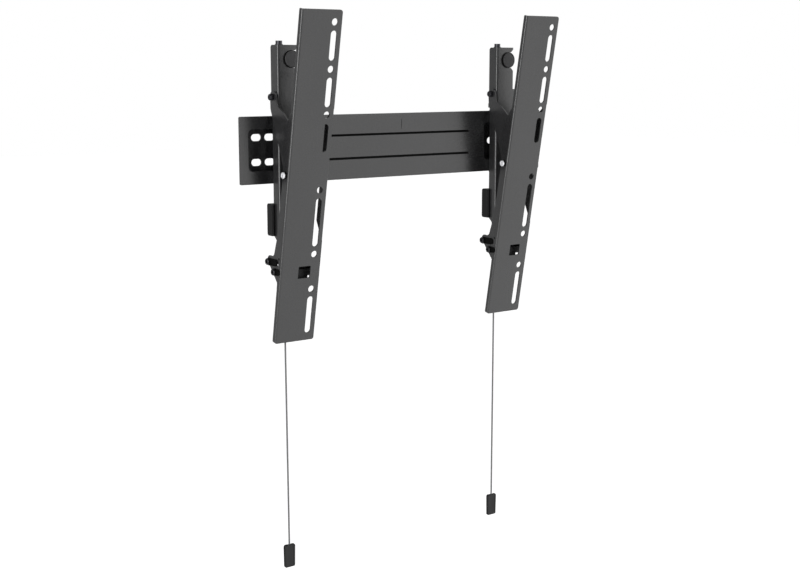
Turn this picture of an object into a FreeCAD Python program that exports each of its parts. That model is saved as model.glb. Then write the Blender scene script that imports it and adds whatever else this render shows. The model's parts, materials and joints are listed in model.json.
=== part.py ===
import FreeCAD, Part
import os
import math
from FreeCAD import Vector as V

os.makedirs("parts", exist_ok=True)

# Sheet and general clearances, in mm
SHEET = 2.0            # steel sheet thickness of every folded piece
BEND_R = 3.0           # outer radius of the folds
FIT = 0.05             # radial running clearance of pins in their holes
AIR = 0.3              # gap between pieces that slide past each other
SIDE_AIR = 0.4         # gap between a sliding piece and the channel's flanges
FACE_AIR = 0.2         # gap between flat plates that turn beside each other
LAP = 0.5              # how far joined forms reach into each other
OVER = 1.0             # how far a cutter reaches past the face that it opens

# Wall plate: pressed panel that stands off the wall on its two end pockets
PLATE_W = 507.3
PLATE_H = 86.4
PLATE_R = 2.0
PLATE_STAND = 12.0     # front face of the panel to the wall
POCKET_END = 12.8      # panel end to the outer wall of a pocket
POCKET_IN = 147.4      # plate centre to the inner wall of a pocket
POCKET_H = 53.6
POCKET_R = 6.0
SLOT_L = 15.0          # horizontal fixing slots in a pocket floor
SLOT_H = 9.0
SLOT_END = 49.65       # panel end to the inner slot column
SLOT_PITCH = 19.7
SLOT_ROWS = 31.8
EYE_IN = 18.9          # inner wall of a pocket to the round fixing hole
EYE_D = 9.6
GROOVE_IN = 28.4       # inner wall of a pocket to the end of the long pressed grooves
GROOVE_H = 3.0
GROOVE_Z = 15.5
GROOVE_DEEP = 4.0
MARK_LOW = 21.7        # stamped centre line
MARK_TOP = 34.8
MARK_W = 0.8
MARK_DEEP = 0.5

# Arms: L section with a widened ear that carries the pivot
ARM_PITCH = 362.6
ARM_W = 59.7
ARM_L = 434.4
ARM_TILT = 10.28       # rest angle from upright, degrees
ARM_TOP_Y = -96.45     # top front edge at rest
ARM_TOP_Z = 174.5
ARM_FLANGE = 6.2
TOP_CORNER = 3.6       # rounded corners of the front face
LOW_CORNER = 3.0
FOLD_CORNER = 1.6
HOLE_EDGE = 10.4       # free edge of the arm to the row of holes
HOLE_D = 9.0
HOLES_V = [15.1, 73.7, 131.4, 228.9]
SLOTS_V = [(25.7, 63.1), (84.2, 121.7), (143.1, 179.3), (239.9, 304.8)]
LOW_HOLES = [119.3, 71.5]
LOW_SLOT = (61.0, 10.0)
WINDOW_EDGE = 14.2     # free edge of the arm to the window
WINDOW_W = 18.5
WINDOW_V = (103.8, 87.4)
EAR_HOLES = [(-28.5, -146.0, 2.6), (-33.0, -139.0, 1.6)]
EAR_EDGE = [(-67.2, 48.5, 4), (-58.6, 37.6, 6), (-51.5, 27.0, 12), (-48.4, 8.0),
            (-46.6, -11.3), (-44.0, -40.0, 60), (-37.5, -75.0), (-28.8, -112.5, 30), (-19.8, -137.0, 6)]
EAR_CLAMP = [(1.0, 8.5, 5), (6.0, -1.0, 4), (-3.0, -6.4, 4)]
EAR_LOCK = [(6.5, -1.0, 5), (0.5, -7.0, 5)]
EAR_TOP = (-71.0, 58.0)
EAR_LOW = (-27.2, -170.5)
EAR_FOOT = (-28.0, -180.0)

# Stiffening lip folded back from the arm's free edge beside the upright
LIP_R = 0.8
LIP_DEPTH = 15.0
LIP_V = (124.0, 141.0, 274.0, 288.0, 297.0)
LIP_TAPER = 5.0

# Upright: channel hooked on the wall plate, measured from the arm's outer side
UP_LEFT = 6.0          # outer face of the left flange
UP_RIGHT = 41.4        # outer face of the right flange
UP_NECK = 36.4         # web edge above the right flange
UP_DEPTH = 14.6        # web front to the flange's rear edge
UP_TOP = 132.7
UP_WEB_LOW = -131.0
TOP_REACH = 2.0        # how much further back the flanges reach above the plate
TOP_CHAMFER = 2.5
RIGHT_FLANGE_TOP = 74.0
NOSE_LOW = 47.6        # small noses of the flanges over the plate's top edge
NOSE_TOP = 53.0
NOSE_REACH = 3.4
NOSE_SLOPE = 2.0
CHAMFER_TOP = -111.4
CHAMFER_LOW = -117.5
CHAMFER_DEEP = 7.2
TAB_SHORT = 2.0        # top tab to the web's free edge
TAB_BACK = 4.0         # top tab and bumper tongue to the flange's rear edge
SHELF_BACK = 0.4

# Lower lug of the left flange with the arc slot of the clamp screw
LUG_NECK = (-18.6, -132.0, 4)
LUG_RISE = 7.2         # clamp screw to the lug's upper edge
LUG_BACK = 6.2         # clamp screw to the lug's rear edge
LUG_UNDER = [(-18.0, -154.6, 10), (-34.8, -158.0, 5), (-34.8, -145.6, 4), (-22.2, -143.0, 4)]

# Bumper in the notch at the top of the web
BUMP_U = 26.6
BUMP_Z = 115.0
BUMP_D = 21.4
BUMP_PROUD = 2.4
BUMP_EDGE = 1.0
BUMP_STEM = 8.0
BUMP_COLLAR = 2.0
BARB_WIDE = 1.2
BARB_TIP = 1.0
BARB_L = 3.0
NOTCH_CHAMFER = 4.0
TONGUE_HALF = 9.0
TONGUE_DROP = 13.0     # bumper centre to the tongue's lower end

# Rivet that the arm turns on, and the screws of its ear
PIVOT_Y = -51.5
PIVOT_Z = -29.8
PIVOT_D = 6.0
RIVET_RISE = 2.2
RIVET_TAIL = 1.2
CLAMP_Y = -8.0
CLAMP_Z = -144.6
CLAMP_D = 6.0
CLAMP_COLLAR = 1.5
CLAMP_REACH = 5.0      # end of the clamp screw past the left flange
LOCK_Y = -22.3
LOCK_Z = -156.8
HEAD_D = 8.6
HEAD_T = 3.0
HEAD_CHAMFER = 0.6
WASHER_T = 1.0
WASHER_RIM = 0.9
SOCKET_D = 4.4         # six-sided recess in a screw's head
SOCKET_DEEP = 1.6
NUT_R = 5.6
CLAMP_NUT_T = 4.0
LOCK_NUT_T = 3.2

# Gusset that carries the rivet in front of the upright
STUD_Y = -19.6
STUD_Z = 67.2
STUD_D = 6.0
STUD_HEAD = 3.6
STUD_COLLAR = 2.0
STUD_UPSET = 1.3
DIMPLE_Y = -20.6
DIMPLE_Z = 46.0
DIMPLE_R = 3.0
GUSSET_FORE = 5.0      # rivet centre to the gusset's front edge
GUSSET_STUD = [(-7.0, 7.0, 6), (6.6, 7.6, 6)]
GUSSET_REAR = [(-14.2, 52.0, 10), (-23.0, 30.3, 20), (-31.0, 12.0, 60), (-38.4, -6.0, 40)]
GUSSET_RIVET = [(7.5, 5.0, 5), (5.0, -7.5, 5)]
GUSSET_LOW = 6.5
GUSSET_SHOULDER = [(37.8, 3), (-44.0, 48.6, 8), (-29.8, 57.0, 5)]

# Height screw and the hook block it is threaded into
SCREW_U = 13.5
SCREW_Y = -18.4
SCREW_D = 4.9
SCREW_HEAD_D = 8.5
SCREW_HEAD_T = 4.2
SCREW_RIM = 0.8
SCREW_TIP = 1.0
SCREW_CLIP = 1.6
SCREW_CLIP_T = 1.2
SCREW_LOW = 36.0
HOOK_LOW = 22.0        # lower end of the strip in front of the plate
HOOK_DROP = 10.0       # how far the hook reaches down behind the plate
HOOK_R = 2.0
LUG_TOP = 51.0
LUG_SIDE = 0.6
LUG_HALF = 5.0
LUG_FORE = 4.6
LUG_DEEP = 4.0         # threaded lug below the plate's top edge

# Latch under the plate's lower edge, its rod, spring and pull foot
CATCH_LOW = -76.0
CATCH_UP = -38.0
CATCH_SLOPE = 1.5
SEAT_FORE = 1.6
ROD_U = 24.2
ROD_Y = -17.4
ROD_D = 5.0
ROD_IN = 12.0          # how far the rod reaches into the foot
SHELF_TOP = -105.0
SPRING_R = 4.3
SPRING_WIRE = 1.0
SPRING_TURNS = 6
SPRING_STEPS = 14      # straight runs in one turn
FOOT_TOP = -142.0
FOOT_LOW = -172.0
FOOT_LEFT = 18.0
FOOT_RIGHT = 57.0
FOOT_STEP = 45.0
FOOT_STEP_TOP = -161.0
FOOT_STEP_LOW = -163.0
FOOT_DRAFT = 1.0
FOOT_FRONT = -26.0
FOOT_BACK = -2.0
FOOT_R = 2.0
FOOT_WALL = 3.0
CORE_W = 16.0          # solid part of the foot round the rod
CORE_DEEP = 6.0
CORE_LOW = -156.0

# Spacer between the upright and the wall, below the plate
SPACER_TOP = -69.5
SPACER_LOW = -111.4
SPACER_FORE = -15.5
SPACER_WALL = 2.9
SPACER_R = 3.0
SPACER_EDGE = 2.0
SPACER_SHELL = 2.5
RIB_R = 0.7

# Pull cord and its tag
CORD_Y = -4.5
CORD_D = 2.4
CORD_END = -541.0
CORD_IN_TAG = 20.0
TAG_PEAK = -538.0
TAG_SHOULDER = -541.0
TAG_LOW = -569.5
TAG_W = 14.6
TAG_W_LOW = 13.4
TAG_T = 4.6
TAG_R = 1.5
TAG_NECK = 2.6
TAG_NECK_TOP = 1.9
TAG_NECK_RISE = 0.8

# Derived positions
PLATE_FRONT = -PLATE_STAND
PLATE_BACK = PLATE_FRONT + SHEET
PLATE_EDGE = PLATE_H / 2
REAR = PLATE_FRONT - FACE_AIR
REAR_TOP = REAR + TOP_REACH
WEB_FRONT = REAR - UP_DEPTH
WEB_BACK = WEB_FRONT + SHEET
STRIP_FRONT = REAR - SHEET
IN_LEFT = UP_LEFT + SHEET
IN_RIGHT = UP_RIGHT - SHEET
SLIDE_LEFT = IN_LEFT + SIDE_AIR
SLIDE_RIGHT = IN_RIGHT - SIDE_AIR
HOLE_U = ARM_W - HOLE_EDGE
GUSSET_U = SHEET + FACE_AIR
CORD_U = ROD_U
TILT = math.radians(ARM_TILT)
CLAMP_R = math.hypot(CLAMP_Y - PIVOT_Y, CLAMP_Z - PIVOT_Z)
CLAMP_ANGLE = math.atan2(CLAMP_Z - PIVOT_Z, CLAMP_Y - PIVOT_Y)


def box(x0, x1, y0, y1, z0, z1):
    return Part.makeBox(x1 - x0, y1 - y0, z1 - z0, V(x0, y0, z0))


def rod(p, axis, r, length):
    return Part.makeCylinder(r, length, V(*p), V(*axis))


def corner_arc(a, p, b, r):
    # tangent points and arc middle of a rounded corner p between a and b
    d1 = (a - p).normalize()
    d2 = (b - p).normalize()
    half = d1.getAngle(d2) / 2
    run = r / math.tan(half)
    mid_dir = (d1 + d2).normalize()
    centre = p + mid_dir * (r / math.sin(half))
    return p + d1 * run, centre - mid_dir * r, p + d2 * run


def face_of(points, put):
    # closed outline with rounded corners; each point is (a, b) or (a, b, radius)
    pts = [put(q[0], q[1]) for q in points]
    radii = [q[2] if len(q) > 2 else 0 for q in points]
    n = len(pts)
    spans = []
    for i in range(n):
        p = pts[i]
        if radii[i]:
            spans.append(corner_arc(pts[i - 1], p, pts[(i + 1) % n], radii[i]))
        else:
            spans.append((p, None, p))
    edges = []
    for i in range(n):
        start, mid, end = spans[i]
        if mid is not None:
            edges.append(Part.Arc(start, mid, end).toShape())
        nxt = spans[(i + 1) % n][0]
        if (nxt - end).Length > 1e-6:
            edges.append(Part.makeLine(end, nxt))
    return Part.Face(Part.Wire(edges))


def side_plate(points, x0, thick):
    # plate in the Y-Z plane
    return face_of(points, lambda y, z: V(x0, y, z)).extrude(V(thick, 0, 0))


def front_plate(points, y0, thick):
    # plate in the X-Z plane
    return face_of(points, lambda x, z: V(x, y0, z)).extrude(V(0, thick, 0))


def flat_plate(points, z0, thick):
    # plate in the X-Y plane
    return face_of(points, lambda x, y: V(x, y, z0)).extrude(V(0, 0, thick))


def rounded_box_outline(x0, x1, z0, z1, r):
    return [(x0, z0, r), (x1, z0, r), (x1, z1, r), (x0, z1, r)]


def slot_cutter(x, z, length, height, y0, deep):
    r = height / 2
    bar = box(x - length / 2 + r, x + length / 2 - r, y0, y0 + deep, z - r, z + r)
    ends = [rod((x + s * (length / 2 - r), y0, z), (0, 1, 0), r, deep) for s in (-1, 1)]
    return bar.fuse(ends)


def to_arm(y, z):
    # depth behind the arm's front and height below its top edge, from a place in the row
    dy = y - ARM_TOP_Y
    dz = z - ARM_TOP_Z
    return (dy * math.cos(TILT) + dz * math.sin(TILT),
            -dy * math.sin(TILT) + dz * math.cos(TILT))


def place_arm(shape):
    shape.rotate(V(0, 0, 0), V(1, 0, 0), ARM_TILT)
    shape.translate(V(0, ARM_TOP_Y, ARM_TOP_Z))
    return shape


def round_off(x, z, sx, sz, r, y0, deep):
    # what a rounded corner leaves off a front plate; sx and sz point into the plate
    x0, x1 = sorted((x - sx * OVER, x + sx * r))
    z0, z1 = sorted((z - sz * OVER, z + sz * r))
    corner = box(x0, x1, y0, y0 + deep, z0, z1)
    return corner.cut(rod((x + sx * r, y0 - OVER, z + sz * r), (0, 1, 0), r, deep + 2 * OVER))


def chamfered(disc, coord, edge, length):
    # bevels the round edges that lie at one end of a turned piece
    ends = [e for e in disc.Edges if abs(coord(e.BoundBox) - edge) < FIT and e.Length > length]
    return disc.makeChamfer(length, ends)


def wall_plate():
    half = PLATE_W / 2
    panel = rounded_box_outline(-half, half, -PLATE_EDGE, PLATE_EDGE, PLATE_R)
    body = front_plate(panel, PLATE_FRONT, SHEET)
    cuts = []
    through = SHEET + 2 * OVER
    for s in (-1, 1):
        x0, x1 = sorted((s * POCKET_IN, s * (half - POCKET_END)))
        h = POCKET_H / 2
        outer = rounded_box_outline(x0 - SHEET, x1 + SHEET, -h - SHEET, h + SHEET, POCKET_R + SHEET)
        inner = rounded_box_outline(x0, x1, -h, h, POCKET_R)
        body = body.fuse(front_plate(outer, PLATE_FRONT, PLATE_STAND))
        cuts.append(front_plate(inner, PLATE_FRONT - OVER, PLATE_STAND - SHEET + OVER))
        for column in (0, 1):
            for row in (-1, 1):
                x = s * (half - SLOT_END + column * SLOT_PITCH)
                cuts.append(slot_cutter(x, row * SLOT_ROWS / 2, SLOT_L, SLOT_H, -SHEET - OVER, through))
        cuts.append(rod((s * (POCKET_IN + EYE_IN), -SHEET - OVER, 0), (0, 1, 0), EYE_D / 2, through))
    length = 2 * (POCKET_IN - GROOVE_IN)
    for s in (-1, 1):
        z = s * GROOVE_Z
        body = body.fuse(slot_cutter(0, z, length + SHEET, GROOVE_H + SHEET, PLATE_BACK - LAP, GROOVE_DEEP + LAP))
        cuts.append(slot_cutter(0, z, length, GROOVE_H, PLATE_FRONT - OVER, GROOVE_DEEP + OVER))
    cuts.append(box(-MARK_W / 2, MARK_W / 2, PLATE_FRONT - OVER, PLATE_FRONT + MARK_DEEP, MARK_LOW, MARK_TOP))
    return body.cut(cuts).removeSplitter()


def ear():
    # rear outline of the arm's side, down to the lug that holds the clamp and lock screws
    lug = [(CLAMP_Y + y, CLAMP_Z + z, r) for y, z, r in EAR_CLAMP]
    lug += [(LOCK_Y + y, LOCK_Z + z, r) for y, z, r in EAR_LOCK]
    rear = [to_arm(p[0], p[1]) + tuple(p[2:]) for p in EAR_EDGE + lug + [EAR_LOW]]
    top = to_arm(*EAR_TOP)[1]
    low = to_arm(*EAR_FOOT)[1]
    root = [(ARM_FLANGE, low), (BEND_R, low), (BEND_R, top), (ARM_FLANGE, top)]
    return side_plate(root + rear, 0, SHEET)


def lip():
    # folded back from the free edge, deepest beside the upright
    v0, v1, v2, v3, v4 = LIP_V
    x0 = ARM_W - SHEET
    outline = [(SHEET / 2, -v0), (LIP_DEPTH, -v1, BEND_R), (LIP_DEPTH, -v2, BEND_R), (LIP_TAPER, -v3, BEND_R),
               (BEND_R, -v4), (SHEET / 2, -v4)]
    return side_plate(outline, x0, SHEET)


def lip_fold():
    # what the lip's fold leaves off the square corner of the section
    v0, v4 = LIP_V[0], LIP_V[-1]
    corner = box(ARM_W - LIP_R, ARM_W + OVER, -OVER, LIP_R, -v4, -v0)
    return corner.cut(rod((ARM_W - LIP_R, LIP_R, -v4 - OVER), (0, 0, 1), LIP_R, v4 - v0 + 2 * OVER))


def arm_cuts():
    # rows of holes and slots for the screen's threads, and the window over the pull foot
    r = HOLE_D / 2
    through = SHEET + 2 * OVER
    cuts = []
    for v in HOLES_V + [ARM_L - low for low in LOW_HOLES]:
        cuts.append(rod((HOLE_U, -OVER, -v), (0, 1, 0), r, through))
    for v0, v1 in SLOTS_V + [(ARM_L - LOW_SLOT[0], ARM_L - LOW_SLOT[1])]:
        cuts.append(box(HOLE_U - r, HOLE_U + r, -OVER, SHEET + OVER, r - v1, -v0 - r))
        for v in (v0 + r, v1 - r):
            cuts.append(rod((HOLE_U, -OVER, -v), (0, 1, 0), r, through))
    u1 = ARM_W - WINDOW_EDGE
    z0, z1 = [low - ARM_L for low in reversed(WINDOW_V)]
    cuts.append(front_plate(rounded_box_outline(u1 - WINDOW_W, u1, z0, z1, 1), -OVER, through))
    deep = ARM_FLANGE + 2 * OVER
    cuts.append(round_off(ARM_W, 0, -1, -1, TOP_CORNER, -OVER, through))
    cuts.append(round_off(ARM_W, -ARM_L, -1, 1, LOW_CORNER, -OVER, through))
    cuts.append(round_off(0, 0, 1, -1, FOLD_CORNER, -OVER, deep))
    cuts.append(round_off(0, -ARM_L, 1, 1, LOW_CORNER, -OVER, deep))
    return cuts


def arm():
    # front plate and side flange in one folded section, with the ear and the lip
    section = [(0, 0, BEND_R), (ARM_W, 0), (ARM_W, SHEET), (SHEET, SHEET, BEND_R - SHEET),
               (SHEET, ARM_FLANGE), (0, ARM_FLANGE)]
    body = flat_plate(section, -ARM_L, ARM_L).fuse([ear(), lip()])
    body = place_arm(body.cut(arm_cuts() + [lip_fold()]))
    through = SHEET + 2 * OVER
    holes = [rod((-OVER, PIVOT_Y, PIVOT_Z), (1, 0, 0), PIVOT_D / 2 + FIT, through),
             rod((-OVER, CLAMP_Y, CLAMP_Z), (1, 0, 0), CLAMP_D / 2, through),
             rod((-OVER, LOCK_Y, LOCK_Z), (1, 0, 0), CLAMP_D / 2, through)]
    for y, z, r in EAR_HOLES:
        holes.append(rod((-OVER, y, z), (1, 0, 0), r, through))
    return body.cut(holes).removeSplitter()


def clamp_slot():
    # arc slot about the rivet, as long as the arm's travel
    r = CLAMP_D / 2 + AIR
    x = UP_LEFT - OVER
    deep = SHEET + 2 * OVER
    a0 = CLAMP_ANGLE - TILT
    a1 = CLAMP_ANGLE
    mid = (a0 + a1) / 2

    def at(radius, a):
        return V(x, PIVOT_Y + radius * math.cos(a), PIVOT_Z + radius * math.sin(a))

    far = CLAMP_R + r
    near = CLAMP_R - r
    edges = [Part.Arc(at(far, a0), at(far, mid), at(far, a1)).toShape(),
             Part.makeLine(at(far, a1), at(near, a1)),
             Part.Arc(at(near, a1), at(near, mid), at(near, a0)).toShape(),
             Part.makeLine(at(near, a0), at(far, a0))]
    band = Part.Face(Part.Wire(edges)).extrude(V(deep, 0, 0))
    return band.fuse([rod(at(CLAMP_R, a), (1, 0, 0), r, deep) for a in (a0, a1)])


def flange_outline(long_foot):
    # side view of an upright's flange, front edge first
    z_top = UP_TOP if long_foot else RIGHT_FLANGE_TOP
    front = WEB_FRONT + BEND_R
    step = REAR - CHAMFER_DEEP
    rear = [(REAR_TOP - TOP_CHAMFER, z_top), (REAR_TOP, z_top - TOP_CHAMFER)]
    nose = [(REAR_TOP, NOSE_TOP + NOSE_SLOPE), (REAR + NOSE_REACH, NOSE_TOP, 1),
            (REAR + NOSE_REACH, NOSE_LOW, 1), (REAR, NOSE_LOW)]
    low = [(REAR, CHAMFER_TOP), (step, CHAMFER_LOW, 3)]
    if long_foot:
        back = CLAMP_Y + LUG_BACK
        low += [LUG_NECK, (CLAMP_Y - BEND_R, CLAMP_Z + LUG_RISE, 5), (back, CLAMP_Z + LUG_BACK, 5),
                (back, CLAMP_Z - LUG_BACK, 5)] + LUG_UNDER + [(front, UP_WEB_LOW - BEND_R, 2)]
    else:
        low.append((step, UP_WEB_LOW))
    return [(front, z_top)] + rear + nose + low + [(front, UP_WEB_LOW)]


def notch():
    # round the bumper and open to the web's free edge, with bevelled mouth corners
    r = BUMP_D / 2 + AIR
    y0 = WEB_FRONT - OVER
    deep = SHEET + 2 * OVER
    out = UP_NECK + OVER
    wide = r + NOTCH_CHAMFER + OVER
    mouth = [(BUMP_U, BUMP_Z - r), (UP_NECK - NOTCH_CHAMFER, BUMP_Z - r), (out, BUMP_Z - wide),
             (out, BUMP_Z + wide), (UP_NECK - NOTCH_CHAMFER, BUMP_Z + r), (BUMP_U, BUMP_Z + r)]
    return front_plate(mouth, y0, deep).fuse(rod((BUMP_U, y0, BUMP_Z), (0, 1, 0), r, deep))


def channel_section(right, folded):
    # web of the channel with the roots of its flanges, from above
    root = WEB_FRONT + BEND_R + LAP
    left = [(IN_LEFT, WEB_BACK, BEND_R - SHEET), (IN_LEFT, root), (UP_LEFT, root)]
    if folded:
        inner = right - SHEET
        return [(UP_LEFT, WEB_FRONT, BEND_R), (right, WEB_FRONT, BEND_R), (right, root), (inner, root),
                (inner, WEB_BACK, BEND_R - SHEET)] + left
    return [(UP_LEFT, WEB_FRONT, BEND_R), (right, WEB_FRONT), (right, WEB_BACK)] + left


def upright():
    # folded channel: web, two flanges, top tab, bumper tongue and spring shelf
    tab_right = UP_NECK - TAB_SHORT
    tab_rear = REAR - TAB_BACK
    x = IN_LEFT - LAP
    y = WEB_BACK - LAP
    through = SHEET + 2 * OVER
    body = flat_plate(channel_section(UP_RIGHT, True), UP_WEB_LOW, RIGHT_FLANGE_TOP - UP_WEB_LOW)
    neck = flat_plate(channel_section(UP_NECK, False), RIGHT_FLANGE_TOP, UP_TOP - RIGHT_FLANGE_TOP)
    tab_line = [(x, y), (tab_right, y), (tab_right, tab_rear, BEND_R), (x, tab_rear)]
    tab = flat_plate(tab_line, UP_TOP - SHEET, SHEET)
    tongue = box(BUMP_U - TONGUE_HALF, BUMP_U + TONGUE_HALF - TAB_SHORT, tab_rear - SHEET, tab_rear,
                 BUMP_Z - TONGUE_DROP, UP_TOP - SHEET + LAP)
    shelf = box(x, IN_RIGHT + LAP, y, REAR - SHELF_BACK, SHELF_TOP - SHEET, SHELF_TOP)
    flanges = [side_plate(flange_outline(True), UP_LEFT, SHEET),
               side_plate(flange_outline(False), IN_RIGHT, SHEET)]
    body = body.fuse([neck, tab, tongue, shelf] + flanges)
    cuts = [notch(), clamp_slot(),
            rod((BUMP_U, tab_rear - SHEET - OVER, BUMP_Z), (0, 1, 0), BUMP_STEM / 2, through),
            rod((SCREW_U, SCREW_Y, UP_TOP - SHEET - OVER), (0, 0, 1), SCREW_D / 2 + AIR, through),
            rod((ROD_U, ROD_Y, SHELF_TOP - SHEET - OVER), (0, 0, 1), ROD_D / 2 + AIR, through),
            rod((UP_LEFT - OVER, STUD_Y, STUD_Z), (1, 0, 0), STUD_D / 2, through)]
    return body.cut(cuts).removeSplitter()


def bumper():
    # soft disc with a bevelled rim on a stem pushed through the tongue
    front = WEB_FRONT - BUMP_PROUD
    tongue_back = REAR - TAB_BACK
    r = BUMP_STEM / 2
    pad = rod((BUMP_U, front, BUMP_Z), (0, 1, 0), BUMP_D / 2, SHEET + BUMP_PROUD)
    pad = chamfered(pad, lambda b: b.YMax, front, BUMP_EDGE)
    neck = rod((BUMP_U, WEB_BACK, BUMP_Z), (0, 1, 0), r, tongue_back - WEB_BACK)
    collar = rod((BUMP_U, WEB_BACK, BUMP_Z), (0, 1, 0), r + BUMP_COLLAR, tongue_back - SHEET - WEB_BACK)
    barb = Part.makeCone(r + BARB_WIDE, r - BARB_TIP, BARB_L, V(BUMP_U, tongue_back, BUMP_Z), V(0, 1, 0))
    return pad.fuse([neck, collar, barb]).removeSplitter()


def hexagon(place, r, turn):
    # closed six-sided outline; place gives a point from two numbers across it
    angles = [math.radians(60 * i + turn) for i in range(7)]
    return Part.Face(Part.makePolygon([place(r * math.cos(a), r * math.sin(a)) for a in angles]))


def socket(p, way):
    # cutter of the six-sided recess, sunk from p against the screw's own direction
    along = V(*way)
    if along.z:
        face = hexagon(lambda a, b: V(p[0] + a, p[1] + b, p[2]), SOCKET_D / 2, 0)
    else:
        face = hexagon(lambda a, b: V(p[0], p[1] + a, p[2] + b), SOCKET_D / 2, 0)
    return face.extrude(along * SOCKET_DEEP)


def height_screw():
    washer = rod((SCREW_U, SCREW_Y, UP_TOP), (0, 0, 1), SCREW_HEAD_D / 2 + SCREW_RIM, WASHER_T)
    head = rod((SCREW_U, SCREW_Y, UP_TOP + WASHER_T), (0, 0, 1), SCREW_HEAD_D / 2, SCREW_HEAD_T)
    head = head.cut(socket((SCREW_U, SCREW_Y, UP_TOP + WASHER_T + SCREW_HEAD_T), (0, 0, -1)))
    shank = rod((SCREW_U, SCREW_Y, SCREW_LOW), (0, 0, 1), SCREW_D / 2, UP_TOP + WASHER_T - SCREW_LOW)
    end = V(SCREW_U, SCREW_Y, SCREW_LOW - SCREW_TIP)
    tip = Part.makeCone(SCREW_D / 2 - SCREW_TIP, SCREW_D / 2, SCREW_TIP, end)
    clip_top = UP_TOP - SHEET - FACE_AIR
    clip = rod((SCREW_U, SCREW_Y, clip_top - SCREW_CLIP_T), (0, 0, 1), SCREW_D / 2 + SCREW_CLIP, SCREW_CLIP_T)
    return head.fuse([washer, shank, tip, clip]).removeSplitter()


def hook_block():
    # folded strip over the plate's top edge with a threaded lug on its front
    over = PLATE_EDGE + FACE_AIR
    lip_y = PLATE_BACK + AIR
    tip = over - HOOK_DROP
    lug_left = SLIDE_LEFT + LUG_SIDE
    lug_right = SCREW_U + LUG_HALF
    outline = [(STRIP_FRONT, HOOK_LOW), (REAR, HOOK_LOW), (REAR, over), (lip_y, over), (lip_y, tip),
               (lip_y + SHEET, tip), (lip_y + SHEET, over + SHEET, BEND_R), (STRIP_FRONT, over + SHEET, HOOK_R)]
    strip = side_plate(outline, SLIDE_LEFT, SLIDE_RIGHT - SLIDE_LEFT)
    lug = box(lug_left, lug_right, SCREW_Y - LUG_FORE, STRIP_FRONT + LAP, over - LUG_DEEP, LUG_TOP)
    tie = box(lug_left, lug_right, STRIP_FRONT, REAR, over, LUG_TOP)
    bore = rod((SCREW_U, SCREW_Y, SCREW_LOW), (0, 0, 1), SCREW_D / 2 + FIT, LUG_TOP - SCREW_LOW + OVER)
    return strip.fuse([lug, tie]).cut(bore).removeSplitter()


def gusset():
    # side plate with a forward lobe, fixed on the upright, that carries the arm's rivet
    front = PIVOT_Y - GUSSET_FORE
    shoulder_z, shoulder_r = GUSSET_SHOULDER[0]
    outline = [(STUD_Y + y, STUD_Z + z, r) for y, z, r in GUSSET_STUD] + GUSSET_REAR
    outline += [(PIVOT_Y + y, PIVOT_Z + z, r) for y, z, r in GUSSET_RIVET]
    outline += [(front, PIVOT_Z - GUSSET_LOW, 4), (front, shoulder_z, shoulder_r)] + GUSSET_SHOULDER[1:]
    body = side_plate(outline, GUSSET_U, SHEET)
    u = GUSSET_U + SHEET - LAP
    boss = rod((u, DIMPLE_Y, DIMPLE_Z), (1, 0, 0), DIMPLE_R, UP_LEFT - u)
    holes = [rod((GUSSET_U - OVER, PIVOT_Y, PIVOT_Z), (1, 0, 0), PIVOT_D / 2, SHEET + 2 * OVER),
             rod((GUSSET_U - OVER, STUD_Y, STUD_Z), (1, 0, 0), STUD_D / 2, SHEET + 2 * OVER)]
    return body.fuse(boss).cut(holes).removeSplitter()


def gusset_screw():
    # headed screw with a spacer collar between gusset and upright, upset on the inside
    face = GUSSET_U - STUD_HEAD
    inner = GUSSET_U + SHEET
    r = STUD_D / 2
    head = rod((face, STUD_Y, STUD_Z), (1, 0, 0), HEAD_D / 2, STUD_HEAD)
    head = chamfered(head, lambda b: b.XMax, face, HEAD_CHAMFER).cut(socket((face, STUD_Y, STUD_Z), (1, 0, 0)))
    shank = rod((GUSSET_U, STUD_Y, STUD_Z), (1, 0, 0), r, IN_LEFT - GUSSET_U)
    collar = rod((inner, STUD_Y, STUD_Z), (1, 0, 0), r + STUD_COLLAR, UP_LEFT - inner)
    upset = rod((IN_LEFT, STUD_Y, STUD_Z), (1, 0, 0), r + CLAMP_COLLAR, STUD_UPSET)
    return head.fuse([shank, collar, upset]).removeSplitter()


def rivet():
    # domed rivet fixed in the gusset; the arm's ear turns on it
    u = GUSSET_U + SHEET
    r = (HEAD_D / 2) ** 2 / (2 * RIVET_RISE) + RIVET_RISE / 2
    dome = Part.makeSphere(r, V(r - RIVET_RISE - FACE_AIR, PIVOT_Y, PIVOT_Z))
    cap = rod((-RIVET_RISE - OVER, PIVOT_Y, PIVOT_Z), (1, 0, 0), HEAD_D, RIVET_RISE + OVER - FACE_AIR)
    shank = rod((-LAP, PIVOT_Y, PIVOT_Z), (1, 0, 0), PIVOT_D / 2, u + LAP)
    tail = rod((u, PIVOT_Y, PIVOT_Z), (1, 0, 0), HEAD_D / 2 - LAP, RIVET_TAIL)
    return shank.fuse([dome.common(cap), tail]).removeSplitter()


def ear_screw(y, z, reach, collar_end):
    # headed screw with a washer, held in the arm's ear
    face = -WASHER_T - HEAD_T
    r = CLAMP_D / 2
    head = rod((face, y, z), (1, 0, 0), HEAD_D / 2, HEAD_T)
    head = chamfered(head, lambda b: b.XMax, face, HEAD_CHAMFER).cut(socket((face, y, z), (1, 0, 0)))
    made = [rod((-WASHER_T, y, z), (1, 0, 0), HEAD_D / 2 + WASHER_RIM, WASHER_T),
            rod((0, y, z), (1, 0, 0), r, reach)]
    if collar_end:
        made.append(rod((SHEET, y, z), (1, 0, 0), r + CLAMP_COLLAR, collar_end - SHEET))
    return head.fuse(made).removeSplitter()


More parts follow.
